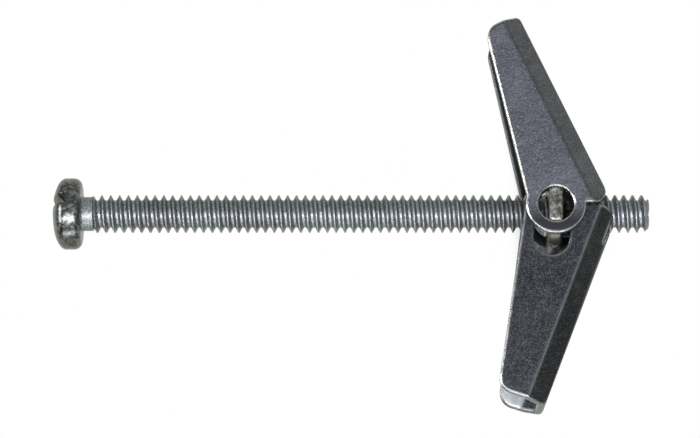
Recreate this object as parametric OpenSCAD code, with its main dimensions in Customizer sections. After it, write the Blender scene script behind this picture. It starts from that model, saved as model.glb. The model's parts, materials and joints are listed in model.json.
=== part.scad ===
// Spring toggle bolt: a slotted round-head machine screw with a pair of sprung
// folding wings hinged on a small threaded plate nut.
//
// The origin is the middle of the head's bearing face, on the screw's axis.
// +X runs along the screw to its tip, the wings stand out along +Y and -Y,
// and their hinge axis is +Z.

/* [Screw] */
// Length under the head
screw_len = 50.8; // [45:0.1:80]
// Diameter over the thread's crests
thread_d = 3.4; // [3:0.05:3.4]
// Depth of the thread, from crest to root
thread_depth = 0.48; // [0.4:0.01:0.5]
// Pitch of the thread
pitch = 0.794; // [0.794:0.001:0.8]
// Distance from the bearing face to a crest on the +Y side
first_crest = 0.95; // [0.6:0.05:1.2]
// Diameter of the unthreaded neck under the head
neck_d = 3.05; // [2.6:0.05:3.1]
// Length of the unthreaded neck
neck_len = 1.0; // [0.5:0.1:2]
// Chamfer at the tip
tip_chamfer = 0.45; // [0.2:0.05:0.6]
// Diameter of the head
head_d = 6.4; // [6:0.1:7]
// Height of the head
head_h = 2.6; // [2.2:0.1:3]
// Height of the domed crown above the head's widest part
dome_h = 1.2; // [0.8:0.1:1.3]
// Radius of the rounded rim under the head
rim_r = 0.7; // [0.3:0.05:0.9]
// Width of the driver slot
slot_w = 0.9; // [0.7:0.05:1.1]
// Depth of the driver slot
slot_depth = 1.5; // [1:0.1:1.7]
// Turn of the driver slot from the hinge axis, in degrees
slot_turn = 4; // [0:1:90]
// Distance of the driver slot from the head's middle
slot_shift = 0.6; // [0:0.1:0.7]

/* [Wings] */
// Distance from the head's bearing face to the hinge axis
pivot_x = 42.3; // [39:0.1:46]
// Length of a wing from the hinge axis, along its open front edge
wing_front_len = 17.1; // [15:0.1:17.5]
// Length of a wing from the hinge axis, along its back
wing_back_len = 17.8; // [15.5:0.1:18]
// Distance from the hinge axis to the upper wing's open front edge
upper_front = 2.3; // [2.2:0.05:2.4]
// Distance from the hinge axis to the outside of the upper wing's web
upper_back = 4.9; // [4.8:0.05:5.2]
// Distance from the hinge axis to the lower wing's open front edge
lower_front = 2.65; // [2.4:0.05:2.65]
// Distance from the hinge axis to the outside of the lower wing's web
lower_back = 5.5; // [5.2:0.05:5.6]
// Flare of each wing's +Z flange towards its tip, beyond the other flange
flare = 0.35; // [0:0.05:0.6]
// Taper of the wing towards its tip, in degrees
taper = 13.3; // [11:0.1:13.5]
// Thickness of the sheet steel
sheet = 0.7; // [0.6:0.05:0.8]
// Half of the clear width between the inner ears
clear_half = 2.7; // [2.6:0.05:3]
// Gap between the nested ears
ear_gap = 0.1; // [0.05:0.05:0.2]
// Width of the sloping bend between flange and web, seen from the side
bend_side = 1.6; // [1.4:0.1:1.8]
// Width of the sloping bend, seen from behind
bend_back = 1.4; // [1.2:0.1:1.6]
// Radius of the front corner at the wing's tip
tip_round = 1.4; // [0.6:0.1:1.6]
// Radius of the corner where the two wings meet
butt_round = 1.2; // [0.6:0.1:1.4]
// Lean of an open wing towards the head, in degrees
open_lean = 9.9; // [6:0.1:14]
// Turn of the open pair about the hinge, in degrees
pair_turn = 2.1; // [0:0.1:4]
// Gap between the wings where they stop against each other
stop_gap = 0.1; // [0.06:0.02:0.2]

/* [Ears] */
// Radius of the rounded ear about the hinge axis
ear_r = 2.65; // [2.6:0.05:3]
// Radius of the hinge hole and of the slot's ends
hole_r = 1.6; // [1.5:0.01:1.65]
// Length of the hinge slot between the centres of its ends
slot_run = 2.9; // [2:0.1:3]
// Width of the notch in the web that the screw passes through
notch_w = 4.3; // [4.2:0.1:5]
// Reach of the notch from the screw's axis
notch_reach = 3.3; // [2.6:0.1:3.5]

/* [Nut and spring] */
// Thickness of the plate nut
plate_t = 1.2; // [1.1:0.1:1.4]
// Length of the plate nut across the screw
plate_len = 7.2; // [6:0.1:7.4]
// Width of the plate nut between the spring's arms
plate_w = 4.2; // [4.1:0.05:4.25]
// Diameter of the tapped collar
collar_d = 4.2; // [4:0.05:4.25]
// Length of the tapped collar behind the plate
collar_len = 1.0; // [0.6:0.1:1.1]
// Running clearance at the thread and at the hinge, on the radius
run_gap = 0.05; // [0.03:0.01:0.08]
// Diameter of the spring wire
wire_d = 0.45; // [0.4:0.05:0.45]
// Distance along a wing from the hinge axis to the spring's bearing point
spring_reach = 4.5; // [4.2:0.1:5]
// Distance of the bearing points inside the web's outer face
bearing_inset = 2.1; // [2:0.05:2.3]
// Length of the spring's in-turned feet
foot_len = 1.3; // [1:0.1:1.6]

/* [Hidden] */
$fn = 64;
cut = 40;                 // size of a cutting block, larger than any wing
eps = 0.01;               // overlap that keeps joined solids one
thread_steps = 12;        // steps in one turn of the thread
spring_gap = 0.08;        // clear space beside the spring wire
taper_run = tan(taper);
inner_half = clear_half + sheet;              // outer face of an inner ear
outer_half = inner_half + ear_gap + sheet;    // outer face of an outer ear
upper_lean = open_lean + pair_turn;
lower_lean = open_lean - pair_turn;
wire_z = clear_half - spring_gap - wire_d / 2;
wrap_r = hole_r + 0.08 + wire_d / 2;          // spring wire about the trunnion
steel = [0.45, 0.46, 0.48];
dark_steel = [0.33, 0.34, 0.36];
bright_steel = [0.62, 0.63, 0.64];

function unit(v) = v / norm(v);
function square_to(v, axis) = unit(v - (v * axis) * axis);
function polar(r, a) = r * [cos(a), sin(a)];

// Points of an arc of radius r that rounds the corner p between a and b
function rounded(a, p, b, r, n = 7) =
    let (u = unit(a - p), w = unit(b - p), half = acos(u * w) / 2,
         c = p + unit(u + w) * r / sin(half),
         s = p + u * r / tan(half) - c,
         e = p + w * r / tan(half) - c,
         start = atan2(s.y, s.x),
         turn = (atan2(e.y, e.x) - start + 540) % 360 - 180)
    [for (i = [0:n]) c + polar(r, start + turn * i / n)];

// ---------------------------------------------------------------- screw

// Half section of the head, as [distance from the axis, height above the seat]
function head_section() =
    let (r = head_d / 2, waist = head_h - dome_h, steps = 12)
    concat(
        [[0, 0]],
        [for (i = [0:6]) [r - rim_r, rim_r] + polar(rim_r, -90 + 90 * i / 6)],
        [for (i = [0:steps]) [r * pow(cos(90 * i / steps), 0.85), waist + dome_h * sin(90 * i / steps)]]
    );

// Radius that the thread keeps to at x, where it grows out of the neck and
// where the tip is chamfered
function thread_limit(x) = max(0.2, min(
    neck_d / 2 - eps + 2 * max(0, x - neck_len),
    thread_d / 2 - tip_chamfer + screw_len - x
));

// Point of the right-handed thread, after a number of steps along its helix
function helix_point(step, r, across) =
    let (x = first_crest + pitch * (step / thread_steps + across), a = 360 * step / thread_steps)
    [x, min(r, thread_limit(x)) * cos(a), min(r, thread_limit(x)) * sin(a)];

// Threaded shank with its core, as one body: a ridge that winds from inside
// the neck to beyond the tip
module thread() {
    crest = thread_d / 2;
    root = crest - thread_depth;
    turns = ceil((screw_len - first_crest) / pitch) + 1;
    last = turns * thread_steps;
    root_from = last + 1;
    hub = 2 * last + 2 + thread_steps;
    points = concat(
        [for (i = [0:last]) helix_point(i, crest, 0)],
        [for (i = [0:last + thread_steps]) helix_point(i, root, -0.5)],
        [[first_crest - pitch / 2, 0, 0], [first_crest + pitch * (turns + 0.5), 0, 0]]
    );
    flanks = [
        for (i = [0:last - 1])
            let (low = root_from + i, next_low = low + thread_steps)
            each [
                [low, i + 1, low + 1], [low, i, i + 1],
                [i, next_low + 1, i + 1], [i, next_low, next_low + 1]
            ]
    ];
    neck_end = [for (i = [root_from:root_from + thread_steps - 1]) [hub, i, i + 1]];
    tip_end = [for (i = [hub - thread_steps - 1:hub - 2]) [hub + 1, i + 1, i]];
    steps_up = [
        [hub, 0, root_from], [hub, root_from + thread_steps, 0],
        [hub + 1, last, hub - 1], [hub + 1, hub - thread_steps - 1, last]
    ];
    polyhedron(points, concat(flanks, neck_end, tip_end, steps_up), convexity = 10);
}

module screw() {
    color(steel)
    union() {
        difference() {
            rotate([0, -90, 0]) rotate_extrude() polygon(head_section());
            rotate([-slot_turn, 0, 0])
                translate([-head_h - 1, slot_shift - slot_w / 2, -head_d])
                cube([slot_depth + 1, slot_w, 2 * head_d]);
        }
        rotate([0, 90, 0]) translate([0, 0, -eps]) cylinder(h = neck_len + 2 * eps, d = neck_d);
        intersection() {
            thread();
            translate([0, -thread_d, -thread_d]) cube([screw_len, 2 * thread_d, 2 * thread_d]);
        }
    }
}

// ---------------------------------------------------------------- nut

// Flat plate with rounded ends, seen along the hinge axis
module plate_outline() {
    square([plate_t, plate_len - plate_t], center = true);
    for (side = [-1, 1])
        translate([0, side * (plate_len - plate_t) / 2]) circle(d = plate_t);
}

module trunnion_nut() {
    color(bright_steel)
    translate([pivot_x, 0, 0])
    difference() {
        union() {
            linear_extrude(plate_w, center = true) plate_outline();
            rotate([0, 90, 0]) cylinder(h = plate_t / 2 + collar_len, d = collar_d);
            intersection() {
                cube([plate_t, 2 * hole_r, 2 * outer_half], center = true);
                cylinder(h = 2 * outer_half, r = hole_r - run_gap, center = true);
            }
        }
        rotate([0, 90, 0]) cylinder(h = 3 * plate_len, d = thread_d + 2 * run_gap, center = true);
    }
}

// ---------------------------------------------------------------- wings

// A wing stands along +Y with the hinge axis at its origin, its open front
// towards -X and its web towards +X. The ear at +Z is the outer one.

function web_x(back, y) = back - taper_run * y;

// Where the stop line, which leans with the wing, meets the web's outside
function stop_corner(back) =
    let (g = stop_gap / 2,
         s = (back - g * (taper_run * cos(open_lean) + sin(open_lean)))
             / (cos(open_lean) - taper_run * sin(open_lean)))
    [s * cos(open_lean) + g * sin(open_lean), g * cos(open_lean) - s * sin(open_lean)];

function flank_points(front, back, tip_flare) =
    let (foot = [-front, -sqrt(ear_r * ear_r - front * front)],
         tip_back = [web_x(back, wing_back_len), wing_back_len],
         tip_slope = (wing_back_len - wing_front_len) / (tip_back.x + front),
         tip_front = [-front - tip_flare, wing_front_len - tip_flare * tip_slope],
         stop = stop_corner(back),
         hub = [0, stop_gap / 2])
    concat(
        [hub, foot],
        rounded(foot, tip_front, tip_back, tip_round),
        rounded(tip_front, tip_back, stop, 0.4, 4),
        rounded(tip_back, stop, hub, butt_round)
    );

// Solid block with the outlines of the wing's inner and outer flange, as seen
// along the hinge, in its two halves
module wing_block(front, back, inner_flare, outer_flare) {
    union() {
        translate([0, 0, -inner_half])
            linear_extrude(inner_half + eps) polygon(flank_points(front, back, inner_flare));
        linear_extrude(outer_half) polygon(flank_points(front, back, outer_flare));
        translate([0, 0, -inner_half]) cylinder(h = inner_half + outer_half, r = ear_r);
    }
}

// Cross-section of the folded sheet, seen along the web, or of the space that
// it encloses when inset is the sheet's thickness
module fold_section(inset) {
    slope = norm([1 / bend_side, 1 / bend_back]);
    side = bend_side * (1 + inset * slope - inset / bend_back) - inset;
    back = bend_back * (1 + inset * slope - inset / bend_side) - inset;
    low = inset - inner_half;
    high = outer_half - inset;
    polygon([
        [-cut, low], [-inset - side, low], [-inset, low + back],
        [-inset, high - back], [-inset - side, high], [-cut, high]
    ]);
}

module fold_prism(back, inset) {
    translate([back, 0, 0])
    rotate([90, 0, taper])
    linear_extrude(2 * cut, center = true)
    fold_section(inset);
}

module wing(front, back, inner_flare, outer_flare) {
    difference() {
        intersection() {
            wing_block(front, back, inner_flare, outer_flare);
            fold_prism(back, 0);
        }
        fold_prism(back, sheet);
        // round hinge hole in the outer ear
        cylinder(h = cut, r = hole_r);
        // hinge slot in the inner ear
        translate([0, 0, -cut]) cylinder(h = cut, r = hole_r);
        translate([0, slot_run, -cut]) cylinder(h = cut, r = hole_r);
        translate([-hole_r, 0, -cut]) cube([2 * hole_r, slot_run, cut]);
        // notch for the screw
        rotate([0, 0, -open_lean]) translate([0, -cut, -notch_w / 2]) cube([cut, cut + notch_reach, notch_w]);
    }
}

module wing_upper() {
    color(steel)
    translate([pivot_x, 0, 0]) rotate([0, 0, upper_lean]) wing(upper_front, upper_back, 0, flare);
}

module wing_lower() {
    color(dark_steel)
    translate([pivot_x, 0, 0]) rotate([180, 0, -lower_lean]) wing(lower_front, lower_back, flare, 0);
}

// ---------------------------------------------------------------- spring

// Point where the wire bears on a wing's web, in the wing's own frame
function bearing_point(back) =
    [web_x(back, spring_reach) - bearing_inset / cos(taper), spring_reach];

function turned(p, a) = [p.x * cos(a) - p.y * sin(a), p.x * sin(a) + p.y * cos(a)];

// Angle at which a straight arm from p touches the wrap about the trunnion
function touch_angle(p) = atan2(p.y, p.x) - acos(wrap_r / norm(p));

function spring_points() =
    let (up = turned(bearing_point(upper_back), upper_lean),
         low_mirrored = turned(bearing_point(lower_back), lower_lean),
         low = [low_mirrored.x, -low_mirrored.y],
         up_touch = touch_angle(up),
         low_touch = -touch_angle(low_mirrored),
         bend = polar(wrap_r / cos((low_touch - up_touch) / 2), (up_touch + low_touch) / 2))
    [
        [low.x, low.y, wire_z - foot_len], [low.x, low.y, wire_z],
        [bend.x, bend.y, wire_z], [up.x, up.y, wire_z],
        [up.x, up.y, -wire_z], [bend.x, bend.y, -wire_z],
        [low.x, low.y, -wire_z], [low.x, low.y, foot_len - wire_z]
    ];

// Curve that rounds the corner p, starting and ending at the distance d from it
function eased(a, p, b, d, n = 5) =
    let (s = p + d * unit(a - p), e = p + d * unit(b - p))
    [for (i = [0:n]) let (t = i / n) (1 - t) * (1 - t) * s + 2 * t * (1 - t) * p + t * t * e];

function wire_path(p) = concat(
    [p[0]],
    [for (i = [1:len(p) - 2]) each eased(p[i - 1], p[i], p[i + 1], 0.5)],
    [p[len(p) - 1]]
);

// Tube of round wire along a path, with its end faces square to it
module wire(path, sides = 12) {
    last = len(path) - 1;
    along = [for (i = [0:last]) unit(path[min(i + 1, last)] - path[max(i - 1, 0)])];
    across = [
        for (i = 0, v = square_to([1, 0, 0], along[0]); i <= last;
             i = i + 1, v = square_to(v, along[min(i, last)])) v
    ];
    points = [
        for (i = [0:last]) for (k = [0:sides - 1])
            let (a = 360 * k / sides, up = cross(along[i], across[i]))
            path[i] + wire_d / 2 * (cos(a) * across[i] + sin(a) * up)
    ];
    walls = [
        for (i = [0:last - 1]) for (k = [0:sides - 1])
            let (a = i * sides + k, b = i * sides + (k + 1) % sides) [a, a + sides, b + sides, b]
    ];
    ends = [[for (k = [0:sides - 1]) k], [for (k = [sides - 1:-1:0]) last * sides + k]];
    polyhedron(points, concat(walls, ends), convexity = 4);
}

module torsion_spring() {
    color(bright_steel)
    translate([pivot_x, 0, 0])
    wire(wire_path(spring_points()));
}

screw();
trunnion_nut();
torsion_spring();
wing_upper();
wing_lower();
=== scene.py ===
"""Spring toggle bolt: a slotted machine screw, its plate nut, two folding wings and their spring."""
import json
import math

import bmesh
import bpy
from mathutils import Matrix, Vector

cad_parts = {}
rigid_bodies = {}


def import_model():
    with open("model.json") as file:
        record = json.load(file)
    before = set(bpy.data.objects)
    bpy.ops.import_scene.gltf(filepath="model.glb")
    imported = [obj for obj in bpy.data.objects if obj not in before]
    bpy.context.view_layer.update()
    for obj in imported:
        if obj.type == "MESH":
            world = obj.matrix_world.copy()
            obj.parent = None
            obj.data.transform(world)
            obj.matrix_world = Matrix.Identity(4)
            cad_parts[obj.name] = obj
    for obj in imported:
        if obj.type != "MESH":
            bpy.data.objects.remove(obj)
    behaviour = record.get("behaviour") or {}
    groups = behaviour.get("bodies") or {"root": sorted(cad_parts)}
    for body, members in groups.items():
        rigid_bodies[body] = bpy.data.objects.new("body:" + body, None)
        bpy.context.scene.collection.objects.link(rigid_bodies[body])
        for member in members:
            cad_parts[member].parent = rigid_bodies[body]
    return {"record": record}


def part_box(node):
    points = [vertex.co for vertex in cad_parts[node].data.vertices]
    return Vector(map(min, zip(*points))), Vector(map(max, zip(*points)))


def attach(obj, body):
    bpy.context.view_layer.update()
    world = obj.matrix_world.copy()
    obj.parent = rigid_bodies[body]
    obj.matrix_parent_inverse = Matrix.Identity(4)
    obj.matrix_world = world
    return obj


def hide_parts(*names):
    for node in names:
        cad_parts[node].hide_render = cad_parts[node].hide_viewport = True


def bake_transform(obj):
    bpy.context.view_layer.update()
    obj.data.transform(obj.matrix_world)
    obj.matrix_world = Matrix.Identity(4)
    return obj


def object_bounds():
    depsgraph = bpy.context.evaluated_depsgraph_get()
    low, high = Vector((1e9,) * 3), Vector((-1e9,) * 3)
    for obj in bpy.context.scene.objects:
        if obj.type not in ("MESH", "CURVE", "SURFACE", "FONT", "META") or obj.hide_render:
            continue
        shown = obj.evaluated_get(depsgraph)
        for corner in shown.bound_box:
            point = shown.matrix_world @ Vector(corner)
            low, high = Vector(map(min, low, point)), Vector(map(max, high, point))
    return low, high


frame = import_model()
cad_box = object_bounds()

MM = 0.001
WELD = 1e-7                     # vertices closer than this are one, in metres
CAD_WELD = 2e-6                 # the same for a CAD node's loose triangles

# Screw, in metres
PITCH = 25.4 / 32 * MM
ROOT_D = 2.44 * MM              # thread's root diameter
NECK_D = 3.05 * MM
CREST_RADIUS = 1.695 * MM
FIRST_CREST = 0.95 * MM         # from the bearing face to a crest on the +Y side
NECK_LENGTH = 1.0 * MM
DOME_HEIGHT = 1.2 * MM
RIM_RADIUS = 0.7 * MM
SLOT_WIDTH = 0.9 * MM
SLOT_DEPTH = 1.5 * MM
SLOT_TURN = math.radians(4)
SLOT_SHIFT = 0.6 * MM           # from the head's middle

# Wings
SHEET_MIDDLE = 3.8 * MM         # height between the nested ears' inner and outer faces

# Spring
WIRE_D = 0.45 * MM
FOOT_LENGTH = 1.3 * MM
LOWER_BEARING_X = 1.65 * MM     # from the hinge axis to the feet

screw_low, screw_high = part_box("screw")
head_height = -screw_low[0]
head_radius = screw_high[2]
screw_end = screw_high[0]


def hinge_position():
    joint = next(j for j in frame["record"]["behaviour"]["joints"] if j["name"] == "upper_fold")
    return Vector(joint["pos_m"])


hinge = hinge_position()


# ---------------------------------------------------------------- materials

class Tree:
    """Short calls for adding and linking the nodes of a material or of a Geometry Nodes tree."""

    def __init__(self, tree):
        self.tree = tree

    def add(self, kind, settings=None, **inputs):
        node = self.tree.nodes.new(kind)
        for key, value in (settings or {}).items():
            setattr(node, key, value)
        for key, value in inputs.items():
            self.plug(node.inputs[key.replace("_", " ")], value)
        return node

    def plug(self, socket, value):
        if isinstance(value, bpy.types.NodeSocket):
            self.tree.links.new(value, socket)
        else:
            socket.default_value = value

    def math(self, operation, first, second=0.0, clamp=False):
        node = self.add("ShaderNodeMath", {"operation": operation, "use_clamp": clamp})
        self.plug(node.inputs[0], first)
        self.plug(node.inputs[1], second)
        return node.outputs[0]


class Nodes(Tree):
    """A material's node tree, with the patterns that these finishes use."""

    def __init__(self, name):
        self.material = bpy.data.materials.new(name)
        self.material.use_nodes = True
        super().__init__(self.material.node_tree)
        self.tree.nodes.clear()

    def noise(self, scale, detail, roughness, vector):
        node = self.add("ShaderNodeTexNoise", Vector=vector, Scale=scale, Detail=detail, Roughness=roughness)
        return node.outputs["Fac"]

    def place(self, stretch=(1, 1, 1), turn=0.0):
        """Object coordinates in millimetres, stretched along the turned axes for drawn or rolled marks."""
        coordinates = self.add("ShaderNodeTexCoord").outputs["Object"]
        scale = tuple(s / MM for s in stretch)
        if turn:
            turned = self.add("ShaderNodeMapping", Vector=coordinates, Rotation=(0, 0, turn))
            coordinates = turned.outputs["Vector"]
        return self.add("ShaderNodeMapping", Vector=coordinates, Scale=scale).outputs["Vector"]

    def attribute(self, name):
        return self.add("ShaderNodeAttribute", {"attribute_name": name}).outputs["Fac"]

    def spread(self, value, low, high, to_low, to_high):
        node = self.add("ShaderNodeMapRange")
        for socket, number in zip(node.inputs, (value, low, high, to_low, to_high)):
            self.plug(socket, number)
        return node.outputs["Result"]

    def blend(self, share, first, second):
        node = self.add("ShaderNodeMix", {"data_type": "RGBA"})
        self.plug(node.inputs["Factor"], share)
        self.plug(node.inputs["A"], first)
        self.plug(node.inputs["B"], second)
        return node.outputs["Result"]


def colour(red, green, blue):
    return (red, green, blue, 1.0)


def zinc_plate(name, base, pale, dull, roughness, mottle=1.3, speckle=9.0, grain=(1, 1, 1), turn=0.0,
               relief=0.006, edge=colour(0.62, 0.63, 0.62), bend_shading=None, inside=None, painted_shade_part=None,
               rounding=0.0):
    """Zinc plating: crystals, fine specks, cloudy patches, faint relief and abraded edges, with painted
    highlight and shade on rounded edges, folds, given parts and the channel's faces; sizes in mm.
    """
    nodes = Nodes(name)
    geometry = nodes.add("ShaderNodeNewGeometry")
    surface = geometry.outputs["Normal"]
    edge_wear_and_shading_mask = 0.0
    if rounding:
        surface = nodes.add("ShaderNodeBevel", {"samples": 8}, Radius=rounding * MM).outputs["Normal"]
        facing = nodes.add("ShaderNodeVectorMath", {"operation": "DOT_PRODUCT"})
        nodes.plug(facing.inputs[0], surface)
        nodes.plug(facing.inputs[1], geometry.outputs["True Normal"])
        facing = facing.outputs["Value"]
        # the edge colour on a rounded edge is a painted highlight (on the nut a painted shade) with some
        # real abrasion, strong on the side that faces up where light falls; its outermost line gets a
        # painted dark line, and folds a gentler painted shading
        side = nodes.add("ShaderNodeSeparateXYZ", Vector=nodes.place()).outputs["Z"]
        edge_wear_and_shading_mask = nodes.math("MULTIPLY", nodes.spread(facing, 0.93, 0.82, 0.0, 1.0),
                          nodes.spread(side, -1.0, 1.0, 0.1, 1.0))
        brink_shade = nodes.spread(facing, 0.77, 0.72, 0.0, 1.0)
        bend_shading_mask = nodes.spread(facing, 0.998, 0.965, 0.0, 1.0)
    place = nodes.place(grain, turn)
    clouds = nodes.noise(0.22, 2.0, 0.5, place)
    patches = nodes.noise(mottle, 4.0, 0.7, place)
    specks = nodes.noise(speckle, 1.5, 0.6, place)
    crystals = nodes.add("ShaderNodeTexVoronoi", Vector=place, Scale=speckle * 0.7).outputs["Distance"]

    shade = nodes.blend(nodes.spread(clouds, 0.38, 0.62, 0.0, 0.8), base, dull)
    shade = nodes.blend(nodes.spread(patches, 0.48, 0.75, 0.0, 0.35), shade, pale)
    shade = nodes.blend(nodes.spread(specks, 0.50, 0.68, 0.0, 1.0), shade, pale)
    shade = nodes.blend(nodes.spread(specks, 0.48, 0.34, 0.0, 0.9), shade, dull)

    # painted shade, at half the dull colour, on the part that the given mask picks out
    if painted_shade_part:
        shade = nodes.blend(painted_shade_part(nodes), shade, tuple(0.5 * c for c in dull))
    # the channel's marked faces take the given colour: a painted shade on the upper wing, a painted
    # highlight on the lower wing
    if inside:
        shade = nodes.blend(nodes.attribute("inside"), shade, inside)
    # painted shading along the folds: a dark line on the upper wing, a lighter line on the lower wing
    if bend_shading:
        shade = nodes.blend(bend_shading_mask, shade, bend_shading)
    # the edge colour: painted highlight on the wings, painted shade on the nut, over some real abrasion that
    # also makes the edges smoother
    edge_wear_and_shading = nodes.math("MULTIPLY", nodes.spread(specks, 0.35, 0.6, 0.45, 1.0), edge_wear_and_shading_mask)
    shade = nodes.blend(edge_wear_and_shading, shade, edge)
    # painted dark line on the outermost part of each rounded edge
    if rounding:
        shade = nodes.blend(brink_shade, shade, dull)

    rough = nodes.math("ADD", nodes.spread(patches, 0.3, 0.7, roughness - 0.06, roughness + 0.08),
                       nodes.spread(specks, 0.3, 0.7, -0.05, 0.06), clamp=True)
    rough = nodes.math("SUBTRACT", rough, nodes.math("MULTIPLY", edge_wear_and_shading, 0.12), clamp=True)
    height = nodes.math("ADD", nodes.math("MULTIPLY", specks, 0.6), nodes.math("MULTIPLY", crystals, 0.4))
    bump = nodes.add("ShaderNodeBump", Strength=0.6, Distance=relief * MM, Height=height, Normal=surface)
    shader = nodes.add("ShaderNodeBsdfPrincipled", Base_Color=shade, Metallic=1.0, Roughness=rough,
                       Normal=bump.outputs["Normal"])
    output = nodes.add("ShaderNodeOutputMaterial", Surface=shader.outputs["BSDF"])
    output.is_active_output = True
    return nodes.material


def hinge_reach(nodes):
    """Distance from the hinge axis, and how far that is towards +Y."""
    coordinates = nodes.add("ShaderNodeTexCoord").outputs["Object"]
    offset = nodes.add("ShaderNodeVectorMath", {"operation": "SUBTRACT"})
    nodes.plug(offset.inputs[0], coordinates)
    nodes.plug(offset.inputs[1], tuple(hinge))
    parts = nodes.add("ShaderNodeSeparateXYZ", Vector=offset.outputs["Vector"])
    flat = nodes.add("ShaderNodeCombineXYZ", X=parts.outputs["X"], Y=parts.outputs["Y"]).outputs[0]
    reach = nodes.add("ShaderNodeVectorMath", {"operation": "LENGTH"})
    nodes.plug(reach.inputs[0], flat)
    return reach.outputs["Value"], parts.outputs["Y"]


def ear_shade_mask(nodes):
    """1 on the ear's free half near the hinge, towards -Y, which gets a painted shade, and 0 on the rest of
    the wing.
    """
    reach, up = hinge_reach(nodes)
    ring = nodes.spread(reach, 2.9 * MM, 2.5 * MM, 0.0, 1.0)
    return nodes.math("MULTIPLY", ring, nodes.spread(up, 0.0, -1.5 * MM, 0.0, 1.0))


def tab_shadow_mask(nodes):
    """0 on the tab's end where the hinge hole leaves it bare, and 1 under the ears, where the nut gets a
    painted shadow.
    """
    return nodes.spread(hinge_reach(nodes)[0], 1.5 * MM, 2.0 * MM, 0.0, 1.0)


def paint(piece, material):
    piece.data.materials.clear()
    piece.data.materials.append(material)


# ---------------------------------------------------------------- mesh helpers

def new_piece(name, mesh):
    piece = bpy.data.objects.new(name, mesh)
    bpy.context.scene.collection.objects.link(piece)
    return piece


def apply_modifiers(piece):
    """Turns what the piece's modifiers make into its own plain mesh."""
    bpy.context.view_layer.update()
    made = bpy.data.meshes.new_from_object(piece.evaluated_get(bpy.context.evaluated_depsgraph_get()))
    piece.modifiers.clear()
    piece.data = made


def shade_smooth(piece, angle):
    piece.data.shade_smooth()
    piece.data.set_sharp_from_angle(angle=math.radians(angle))


def ring_surface(bm, section, sides):
    """Closed surface turned about the X axis from (x, radius) points that start and end on the axis."""
    rings = []
    for x, radius in section:
        if radius < WELD:
            rings.append([bm.verts.new((x, 0, 0))])
            continue
        turns = (2 * math.pi * k / sides for k in range(sides))
        rings.append([bm.verts.new((x, radius * math.sin(a), radius * math.cos(a))) for a in turns])
    for first, second in zip(rings, rings[1:]):
        for k in range(sides):
            corners = [first[k % len(first)], first[(k + 1) % len(first)],
                       second[(k + 1) % len(second)], second[k % len(second)]]
            unique = list(dict.fromkeys(corners))
            bm.faces.new(unique)
    bmesh.ops.recalc_face_normals(bm, faces=bm.faces)


def merged_copy(node, name):
    """A copy of a CAD node's mesh with its loose triangles welded and its flat faces rejoined."""
    source = next(o for o in bpy.data.objects if o.name == node)
    mesh = source.data.copy()
    bm = bmesh.new()
    bm.from_mesh(mesh)
    bmesh.ops.remove_doubles(bm, verts=bm.verts, dist=CAD_WELD)
    bmesh.ops.dissolve_limit(bm, angle_limit=math.radians(1), verts=bm.verts, edges=bm.edges)
    bm.to_mesh(mesh)
    bm.free()
    return new_piece(name, mesh)


def soften_edges(piece, width, segments, angle):
    """Rounds the edges sharper than the angle in degrees, and less where they crowd."""
    bm = bmesh.new()
    bm.from_mesh(piece.data)
    weight = bm.edges.layers.float.new("bevel_weight_edge")
    for edge in bm.edges:
        if edge.calc_face_angle() > math.radians(angle):
            room = room_beside(edge) / width
            edge[weight] = 1 if room > 0.6 else max(room, 0.4)
    bm.to_mesh(piece.data)
    bm.free()
    bevel = piece.modifiers.new("edges", "BEVEL")
    bevel.width = width
    bevel.segments = segments
    bevel.limit_method = "WEIGHT"
    bevel.use_clamp_overlap = False
    apply_modifiers(piece)
    piece.data.attributes.remove(piece.data.attributes["bevel_weight_edge"])
    shade_smooth(piece, 40)


def room_beside(edge):
    """How wide a rounding fits on the edges that leave this one sideways."""
    along = (edge.verts[1].co - edge.verts[0].co).normalized()
    room = 1.0
    for vert in edge.verts:
        for other in vert.link_edges:
            way = (other.other_vert(vert).co - vert.co).normalized()
            if other != edge and other.calc_face_angle() > 0.1 and abs(way.dot(along)) < 0.85:
                room = min(room, 0.45 * other.calc_length())
    return room


def mark_inside(piece, half_height):
    """Marks the faces that look into the folded channel, for the painted shade of the upper wing's channel
    and the painted highlight of the lower wing's.
    """
    inside = piece.data.attributes.new("inside", "FLOAT", "FACE")
    for face, mark in zip(piece.data.polygons, inside.data):
        towards_middle = face.normal.z * face.center.z < 0 and abs(face.normal.z) > 0.9
        mark.value = float(towards_middle and abs(face.center.z) < half_height)


# ---------------------------------------------------------------- geometry nodes

class Growth(Tree):
    """A Geometry Nodes tree that makes one repeated or path-following piece."""

    def __init__(self, name, **sizes):
        super().__init__(bpy.data.node_groups.new(name, "GeometryNodeTree"))
        self.sizes = {label.replace("_", " "): value for label, value in sizes.items()}
        sockets = self.tree.interface
        sockets.new_socket("Geometry", in_out="INPUT", socket_type="NodeSocketGeometry")
        for label, value in self.sizes.items():
            kind = "NodeSocketInt" if isinstance(value, int) else "NodeSocketFloat"
            sockets.new_socket(label, in_out="INPUT", socket_type=kind)
        sockets.new_socket("Geometry", in_out="OUTPUT", socket_type="NodeSocketGeometry")
        self.start = self.tree.nodes.new("NodeGroupInput")

    def size(self, label):
        return self.start.outputs[label]

    def finish(self, geometry, material):
        whole = self.add("GeometryNodeRealizeInstances", Geometry=geometry).outputs[0]
        coated = self.add("GeometryNodeSetMaterial", Geometry=whole, Material=material).outputs[0]
        end = self.tree.nodes.new("NodeGroupOutput")
        self.tree.links.new(coated, end.inputs[0])

    def grow(self, piece):
        """Runs the tree on the piece with its sizes, and keeps the result as a plain mesh."""
        modifier = piece.modifiers.new("growth", "NODES")
        modifier.node_group = self.tree
        for item in self.tree.interface.items_tree:
            if item.item_type == "SOCKET" and item.name in self.sizes:
                modifier[item.identifier] = self.sizes[item.name]
        apply_modifiers(piece)


# ---------------------------------------------------------------- screw

THREAD_START = NECK_LENGTH * 0.75
THREAD_SIDES = 48               # vertices in one turn of the thread
THREAD_STEPS = 16               # vertices across one pitch


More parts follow.
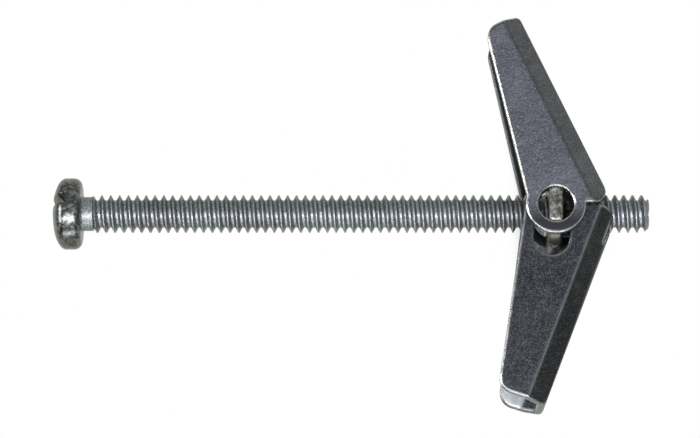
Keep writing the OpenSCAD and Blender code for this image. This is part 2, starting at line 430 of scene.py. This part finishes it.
def thread_growth(material):
    """A rolled thread on the X axis: a grid with rows along the helix and columns across one pitch."""
    phase = FIRST_CREST - 2 * PITCH
    turns = math.ceil((screw_end - phase) / PITCH) + 1
    growth = Growth("rolled thread", Pitch=PITCH, Crest_radius=CREST_RADIUS, Root_radius=ROOT_D / 2,
                    Neck_radius=NECK_D / 2, Phase=phase, Start=THREAD_START, End=screw_end,
                    Run_out=0.55 * MM, Tip_chamfer=0.4 * MM,
                    Turns=turns, Sides=THREAD_SIDES, Steps=THREAD_STEPS)
    size, calc = growth.size, growth.math
    rows = calc("ADD", calc("MULTIPLY", size("Turns"), size("Sides")), 1)
    columns = calc("ADD", size("Steps"), 1)
    grid = growth.add("GeometryNodeMeshGrid", Vertices_X=rows, Vertices_Y=columns)
    index = growth.add("GeometryNodeInputIndex").outputs[0]
    row = calc("FLOOR", calc("DIVIDE", calc("ADD", index, 0.5), columns))
    column = calc("SUBTRACT", index, calc("MULTIPLY", row, columns))
    turn = calc("DIVIDE", row, size("Sides"))
    across = calc("DIVIDE", column, size("Steps"))
    x = calc("ADD", size("Phase"), calc("MULTIPLY", size("Pitch"), calc("ADD", turn, across)))

    # 0 at the root and 1 at the crest: a narrow flat crest, straight flanks and a rounded root
    crest_share = calc("ABSOLUTE", calc("SUBTRACT", calc("MULTIPLY", across, 2.0), 1.0))
    flank = calc("DIVIDE", calc("SUBTRACT", crest_share, 0.22), 0.66, clamp=True)
    height = calc("POWER", flank, 1.25)
    radius = calc("ADD", size("Root radius"),
                  calc("MULTIPLY", height, calc("SUBTRACT", size("Crest radius"), size("Root radius"))))

    # the thread fades into the neck, and the tip is chamfered
    fade = calc("DIVIDE", calc("SUBTRACT", x, size("Start")), size("Run out"), clamp=True)
    radius = calc("ADD", calc("MULTIPLY", radius, fade),
                  calc("MULTIPLY", size("Neck radius"), calc("SUBTRACT", 1.0, fade)))
    to_end = calc("SUBTRACT", size("End"), x)
    limit = calc("ADD", calc("SUBTRACT", size("Crest radius"), size("Tip chamfer")), to_end)
    radius = calc("MINIMUM", radius, limit)

    angle = calc("MULTIPLY", turn, 2 * math.pi)
    point = growth.add("ShaderNodeCombineXYZ", X=x, Y=calc("MULTIPLY", radius, calc("COSINE", angle)),
                       Z=calc("MULTIPLY", radius, calc("SINE", angle))).outputs[0]
    shaped = growth.add("GeometryNodeSetPosition", Geometry=grid.outputs["Mesh"], Position=point).outputs[0]
    welded = growth.add("GeometryNodeMergeByDistance", Geometry=shaped, Distance=WELD).outputs[0]
    growth.finish(welded, material)
    return growth


def trim_ends(bm):
    """Cuts the helix square inside the neck and at the tip, and caps both cuts."""
    for x, beyond in ((THREAD_START, -1), (screw_end, 1)):
        geometry = bm.verts[:] + bm.edges[:] + bm.faces[:]
        bmesh.ops.bisect_plane(bm, geom=geometry, dist=1e-9, plane_co=(x, 0, 0), plane_no=(beyond, 0, 0),
                               clear_outer=True)
    bmesh.ops.remove_doubles(bm, verts=bm.verts, dist=WELD)
    bmesh.ops.holes_fill(bm, edges=[e for e in bm.edges if e.is_boundary], sides=0)
    bmesh.ops.recalc_face_normals(bm, faces=bm.faces)


def head_section():
    """Points of the round head's half section, from the seat's middle to the crown's, as (x, radius)."""
    points = [(0.0, 0.0), (0.0, NECK_D / 2)]
    for i in range(9):
        a = math.radians(90 * i / 8)
        points.append((-RIM_RADIUS * (1 - math.cos(a)), head_radius - RIM_RADIUS * (1 - math.sin(a))))
    waist = head_height - DOME_HEIGHT
    for i in range(19):
        a = math.radians(90 * i / 18)
        points.append((-waist - DOME_HEIGHT * math.sin(a), head_radius * max(math.cos(a), 0) ** 0.85))
    points[-1] = (-head_height, 0.0)
    return points


def make_head(material):
    mesh = bpy.data.meshes.new("screw_head")
    bm = bmesh.new()
    ring_surface(bm, head_section(), 96)
    bm.to_mesh(mesh)
    bm.free()
    head = new_piece("screw_head", mesh)

    cutter_mesh = bpy.data.meshes.new("slot_cutter")
    bm = bmesh.new()
    bmesh.ops.create_cube(bm, size=1)
    bmesh.ops.scale(bm, vec=(SLOT_DEPTH * 2, SLOT_WIDTH, head_radius * 3), verts=bm.verts)
    bmesh.ops.translate(bm, vec=(-head_height, SLOT_SHIFT, 0), verts=bm.verts)
    bmesh.ops.rotate(bm, cent=(0, 0, 0), matrix=Matrix.Rotation(-SLOT_TURN, 3, "X"), verts=bm.verts)
    bm.to_mesh(cutter_mesh)
    bm.free()
    cutter = new_piece("slot_cutter", cutter_mesh)
    cut = head.modifiers.new("slot", "BOOLEAN")
    cut.object = cutter
    cut.operation = "DIFFERENCE"
    cut.solver = "EXACT"
    apply_modifiers(head)
    bpy.data.objects.remove(cutter)
    paint(head, material)
    soften_edges(head, 0.07 * MM, segments=2, angle=38)
    return head


def make_screw(material, head_material):
    shank = new_piece("screw_shank", bpy.data.meshes.new("shank_seed"))
    thread_growth(material).grow(shank)
    bm = bmesh.new()
    bm.from_mesh(shank.data)
    trim_ends(bm)
    bm.to_mesh(shank.data)
    bm.free()
    shade_smooth(shank, 30)

    neck_mesh = bpy.data.meshes.new("screw_neck")
    bm = bmesh.new()
    fillet = 0.12 * MM
    inside_head = -0.3 * MM
    section = [(inside_head, 0.0), (inside_head, NECK_D / 2)]
    for i in range(6):
        a = math.radians(90 * i / 5)
        section.append((fillet * (1 - math.cos(a)), NECK_D / 2 + fillet * (1 - math.sin(a))))
    section += [(NECK_LENGTH, NECK_D / 2), (NECK_LENGTH * 1.1, 0.0)]
    ring_surface(bm, section, 64)
    bm.to_mesh(neck_mesh)
    bm.free()
    neck = new_piece("screw_neck", neck_mesh)
    paint(neck, material)
    shade_smooth(neck, 40)

    head = make_head(head_material)
    for piece in (shank, neck, head):
        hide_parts("screw")
        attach(piece, "screw_body")


# ---------------------------------------------------------------- spring

def spring_rows():
    """Corner points of the wire: the upper arms with their bar, and each of the lower arms."""
    low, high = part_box("torsion_spring")
    radius = WIRE_D / 2
    bend_x = high[0] - radius
    upper_x, upper_y = low[0] + radius, high[1] - radius
    lower_x, lower_y = hinge.x + LOWER_BEARING_X, low[1] + radius
    side = high[2] - radius
    split = Vector((bend_x, 0.12 * MM, 0))
    up = Vector((0, 0, side))
    upper = [split + up, Vector((upper_x, upper_y, side)), Vector((upper_x, upper_y, -side)), split - up]
    lowers = []
    for sign in (1, -1):
        foot = Vector((lower_x, lower_y, sign * (side - FOOT_LENGTH)))
        lowers.append([split + sign * up, Vector((lower_x, lower_y, sign * side)), foot])
    return upper, lowers


def rounded_path(corners, reach, steps=6):
    """The corner points with each inner corner eased into a curve."""
    path = [corners[0]]
    for before, corner, after in zip(corners, corners[1:], corners[2:]):
        start = corner + (before - corner).normalized() * reach
        end = corner + (after - corner).normalized() * reach
        for i in range(steps + 1):
            t = i / steps
            path.append((1 - t) ** 2 * start + 2 * t * (1 - t) * corner + t * t * end)
    path.append(corners[-1])
    return path


def wire_growth(material):
    growth = Growth("drawn wire", Wire_radius=WIRE_D / 2, Sides=16)
    curve = growth.add("GeometryNodeMeshToCurve", Mesh=growth.start.outputs["Geometry"]).outputs[0]
    even = growth.add("GeometryNodeResampleCurve", {"mode": "LENGTH"}, Curve=curve,
                      Length=0.12 * MM).outputs[0]
    ring = growth.add("GeometryNodeCurvePrimitiveCircle", Resolution=growth.size("Sides"),
                      Radius=growth.size("Wire radius")).outputs[0]
    tube = growth.add("GeometryNodeCurveToMesh", Curve=even, Profile_Curve=ring, Fill_Caps=True)
    growth.finish(tube.outputs[0], material)
    return growth


def make_wire(name, corners, growth):
    path = rounded_path(corners, 0.5 * MM)
    mesh = bpy.data.meshes.new(name)
    mesh.from_pydata([tuple(p) for p in path], [(i, i + 1) for i in range(len(path) - 1)], [])
    wire = new_piece(name, mesh)
    growth.grow(wire)
    shade_smooth(wire, 50)
    return wire


def make_spring(material):
    growth = wire_growth(material)
    upper, lowers = spring_rows()
    pieces = [(make_wire("spring_upper_arms", upper, growth), "upper_wing", upper[1])]
    for label, corners in zip(("near", "far"), lowers):
        pieces.append((make_wire("spring_lower_arm_" + label, corners, growth), "lower_wing", corners[1]))
    for piece, wing, bearing in pieces:
        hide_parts("torsion_spring")
        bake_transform(piece)


# ---------------------------------------------------------------- wings and nut

def make_wings(materials):
    for node, body in (("wing_upper", "upper_wing"), ("wing_lower", "lower_wing")):
        wing = merged_copy(node, node + "_sheet")
        mark_inside(wing, SHEET_MIDDLE)
        paint(wing, materials[node])
        shade_smooth(wing, 30)
        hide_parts(node)
        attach(wing, body)


def make_nut(material):
    nut = merged_copy("trunnion_nut", "trunnion_nut_plate")
    paint(nut, material)
    shade_smooth(nut, 30)
    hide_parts("trunnion_nut")
    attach(nut, "nut_body")


# ---------------------------------------------------------------- stage

PAPER_MIDDLE = (0.035, 0.0, 0.0)
PAPER_REACH = 0.045             # white paper around the bolt, which glows for the metal's reflections
TABLE_START = 0.070             # beyond it the glow falls off and the metal mirrors a dark table


def paper_finish():
    """White paper to the camera with a painted shadow where the bolt covers it, and a small white sheet that
    glows only in reflections.
    """
    nodes = Nodes("floor paper")
    path = nodes.add("ShaderNodeLightPath")
    place = nodes.add("ShaderNodeTexCoord").outputs["Object"]
    distance = nodes.add("ShaderNodeVectorMath", {"operation": "DISTANCE"})
    nodes.plug(distance.inputs[0], place)
    nodes.plug(distance.inputs[1], PAPER_MIDDLE)
    sheet = nodes.spread(distance.outputs["Value"], PAPER_REACH, TABLE_START, 1.0, 0.07)
    # painted shadow: the camera's white is dimmed where ambient occlusion finds the bolt close above
    occlusion = nodes.add("ShaderNodeAmbientOcclusion", {"samples": 8}, Distance=8 * MM).outputs["AO"]
    painted_floor_shadow = nodes.spread(occlusion, 0.10, 0.34, 0.10, 1.0)
    straight = nodes.math("ADD", path.outputs["Is Camera Ray"], path.outputs["Is Transmission Ray"],
                          clamp=True)
    strength = nodes.math("ADD", nodes.math("MULTIPLY", straight, painted_floor_shadow),
                          nodes.math("MULTIPLY", path.outputs["Is Glossy Ray"], sheet))
    seen = nodes.math("ADD", straight, path.outputs["Is Glossy Ray"], clamp=True)
    paper = nodes.add("ShaderNodeBsdfDiffuse", Color=colour(0.8, 0.8, 0.8))
    tone = nodes.blend(straight, colour(0.96, 0.98, 0.86), colour(1, 1, 1))
    glow = nodes.add("ShaderNodeEmission", Color=tone, Strength=strength)
    mix = nodes.tree.nodes.new("ShaderNodeMixShader")
    for socket, value in zip(mix.inputs, (seen, paper.outputs[0], glow.outputs[0])):
        nodes.plug(socket, value)
    nodes.add("ShaderNodeOutputMaterial", Surface=mix.outputs[0])
    return nodes.material


def make_floor():
    reach = 0.5
    mesh = bpy.data.meshes.new("floor")
    bm = bmesh.new()
    low = cad_box[0][2] - 0.01 * MM
    corners = [(-reach, -reach), (reach, -reach), (reach, reach), (-reach, reach)]
    bm.faces.new([bm.verts.new((x, y, low)) for x, y in corners])
    bm.to_mesh(mesh)
    bm.free()
    floor = new_piece("floor", mesh)
    paint(floor, paper_finish())


WINDOW = (0.25, 0.75, 0.60)     # direction of the room's brightest part


def make_world():
    """A room that is bright overhead and at the window's side, and darker towards the horizon."""
    world = bpy.data.worlds.new("studio")
    bpy.context.scene.world = world
    world.use_nodes = True
    nodes, links = world.node_tree.nodes, world.node_tree.links
    direction = nodes.new("ShaderNodeTexCoord").outputs["Generated"]
    towards_window = nodes.new("ShaderNodeVectorMath")
    towards_window.operation = "DOT_PRODUCT"
    towards_window.inputs[1].default_value = WINDOW
    links.new(direction, towards_window.inputs[0])
    level = nodes.new("ShaderNodeMapRange")
    for name, value in (("From Min", -0.4), ("From Max", 0.9), ("To Min", 0.12), ("To Max", 1.0)):
        level.inputs[name].default_value = value
    links.new(towards_window.outputs["Value"], level.inputs["Value"])
    height = nodes.new("ShaderNodeSeparateXYZ")
    links.new(direction, height.inputs[0])
    tint = nodes.new("ShaderNodeMix")
    tint.data_type = "RGBA"
    tint.inputs["A"].default_value = colour(0.90, 0.92, 0.78)
    tint.inputs["B"].default_value = colour(0.86, 0.88, 0.94)
    links.new(height.outputs["Z"], tint.inputs["Factor"])
    background = nodes["Background"]
    links.new(tint.outputs["Result"], background.inputs["Color"])
    links.new(level.outputs["Result"], background.inputs["Strength"])


def add_lamp(name, place, target, size, power):
    light = bpy.data.lights.new(name, "AREA")
    light.shape = "RECTANGLE"
    light.size, light.size_y = size
    light.energy = power
    lamp = bpy.data.objects.new(name, light)
    bpy.context.scene.collection.objects.link(lamp)
    lamp.location = place
    lamp.rotation_euler = (Vector(target) - Vector(place)).to_track_quat("-Z", "Y").to_euler()


def make_lights():
    middle = (0.025, 0, 0)
    add_lamp("key", (0.02, -0.125, 0.235), middle, (0.26, 0.012), 1.0)
    add_lamp("left", (-0.25, -0.02, 0.09), middle, (0.16, 0.12), 0.8)
    add_lamp("front", (0.03, -0.28, 0.06), middle, (0.30, 0.08), 0.5)


def make_camera():
    """Looks down on the bolt from slightly on its -Y side."""
    camera_data = bpy.data.cameras.new("camera")
    camera = bpy.data.objects.new("camera", camera_data)
    bpy.context.scene.collection.objects.link(camera)
    elevation = math.radians(77.0)
    distance = 0.300
    back = Vector((0, -math.cos(elevation), math.sin(elevation)))
    aim = Vector((24.04 * MM, -0.46 * MM, 0))
    camera.location = aim + back * distance
    camera.rotation_euler = (-back).to_track_quat("-Z", "Y").to_euler()
    camera_data.sensor_width = 36
    camera_data.lens = 171.9
    camera_data.clip_start, camera_data.clip_end = 0.01, 10
    bpy.context.scene.camera = camera


bpy.context.scene.view_settings.view_transform = "Standard"
make_camera()
make_floor()
make_world()
make_lights()

screw_zinc = zinc_plate("zinc plated screw", colour(0.222, 0.237, 0.252), colour(0.37, 0.39, 0.415),
                        colour(0.147, 0.155, 0.165), 0.48, mottle=2.2, speckle=7.0, relief=0.002)
head_zinc = zinc_plate("zinc plated screw head", colour(0.10, 0.104, 0.104), colour(0.20, 0.21, 0.215),
                       colour(0.045, 0.046, 0.045), 0.30, mottle=0.6, speckle=3.0, relief=0.0015)
# upper wing: painted highlight on its rounded edges, a dark painted line along its folds, and painted shade
# on the channel's faces and on the ear's free half
upper_zinc = zinc_plate("zinc plated wing", colour(0.125, 0.13, 0.155), colour(0.23, 0.235, 0.26),
                        colour(0.085, 0.09, 0.105), 0.36, grain=(0.5, 1.6, 1), turn=math.radians(-25),
                        edge=colour(0.9, 0.9, 0.88), bend_shading=colour(0.035, 0.036, 0.04),
                        inside=colour(0.05, 0.05, 0.055), painted_shade_part=ear_shade_mask, rounding=0.5)
# lower wing: the same zinc as the upper wing painted darker, with a painted highlight on its rounded edges
# and on the channel's faces, and a lighter painted line along its folds
lower_zinc = zinc_plate("dull zinc plated wing", colour(0.05, 0.053, 0.06), colour(0.10, 0.105, 0.118),
                        colour(0.028, 0.029, 0.033), 0.36, edge=colour(0.75, 0.75, 0.73),
                        bend_shading=colour(0.14, 0.145, 0.16), inside=colour(0.62, 0.65, 0.68), rounding=0.5)
# nut: painted shade on its rounded edges and a painted shadow on the nut under the ears
nut_zinc = zinc_plate("zinc plated nut", colour(0.16, 0.16, 0.145), colour(0.38, 0.38, 0.36),
                      colour(0.06, 0.06, 0.053), 0.36, mottle=1.2, speckle=3.0,
                      edge=colour(0.04, 0.04, 0.035), painted_shade_part=tab_shadow_mask, rounding=0.45)
wire_zinc = zinc_plate("drawn spring wire", colour(0.22, 0.22, 0.21), colour(0.4, 0.4, 0.39),
                       colour(0.12, 0.12, 0.115), 0.3, mottle=3.0)

make_screw(screw_zinc, head_zinc)
make_nut(nut_zinc)
make_spring(wire_zinc)
make_wings({"wing_upper": upper_zinc, "wing_lower": lower_zinc})
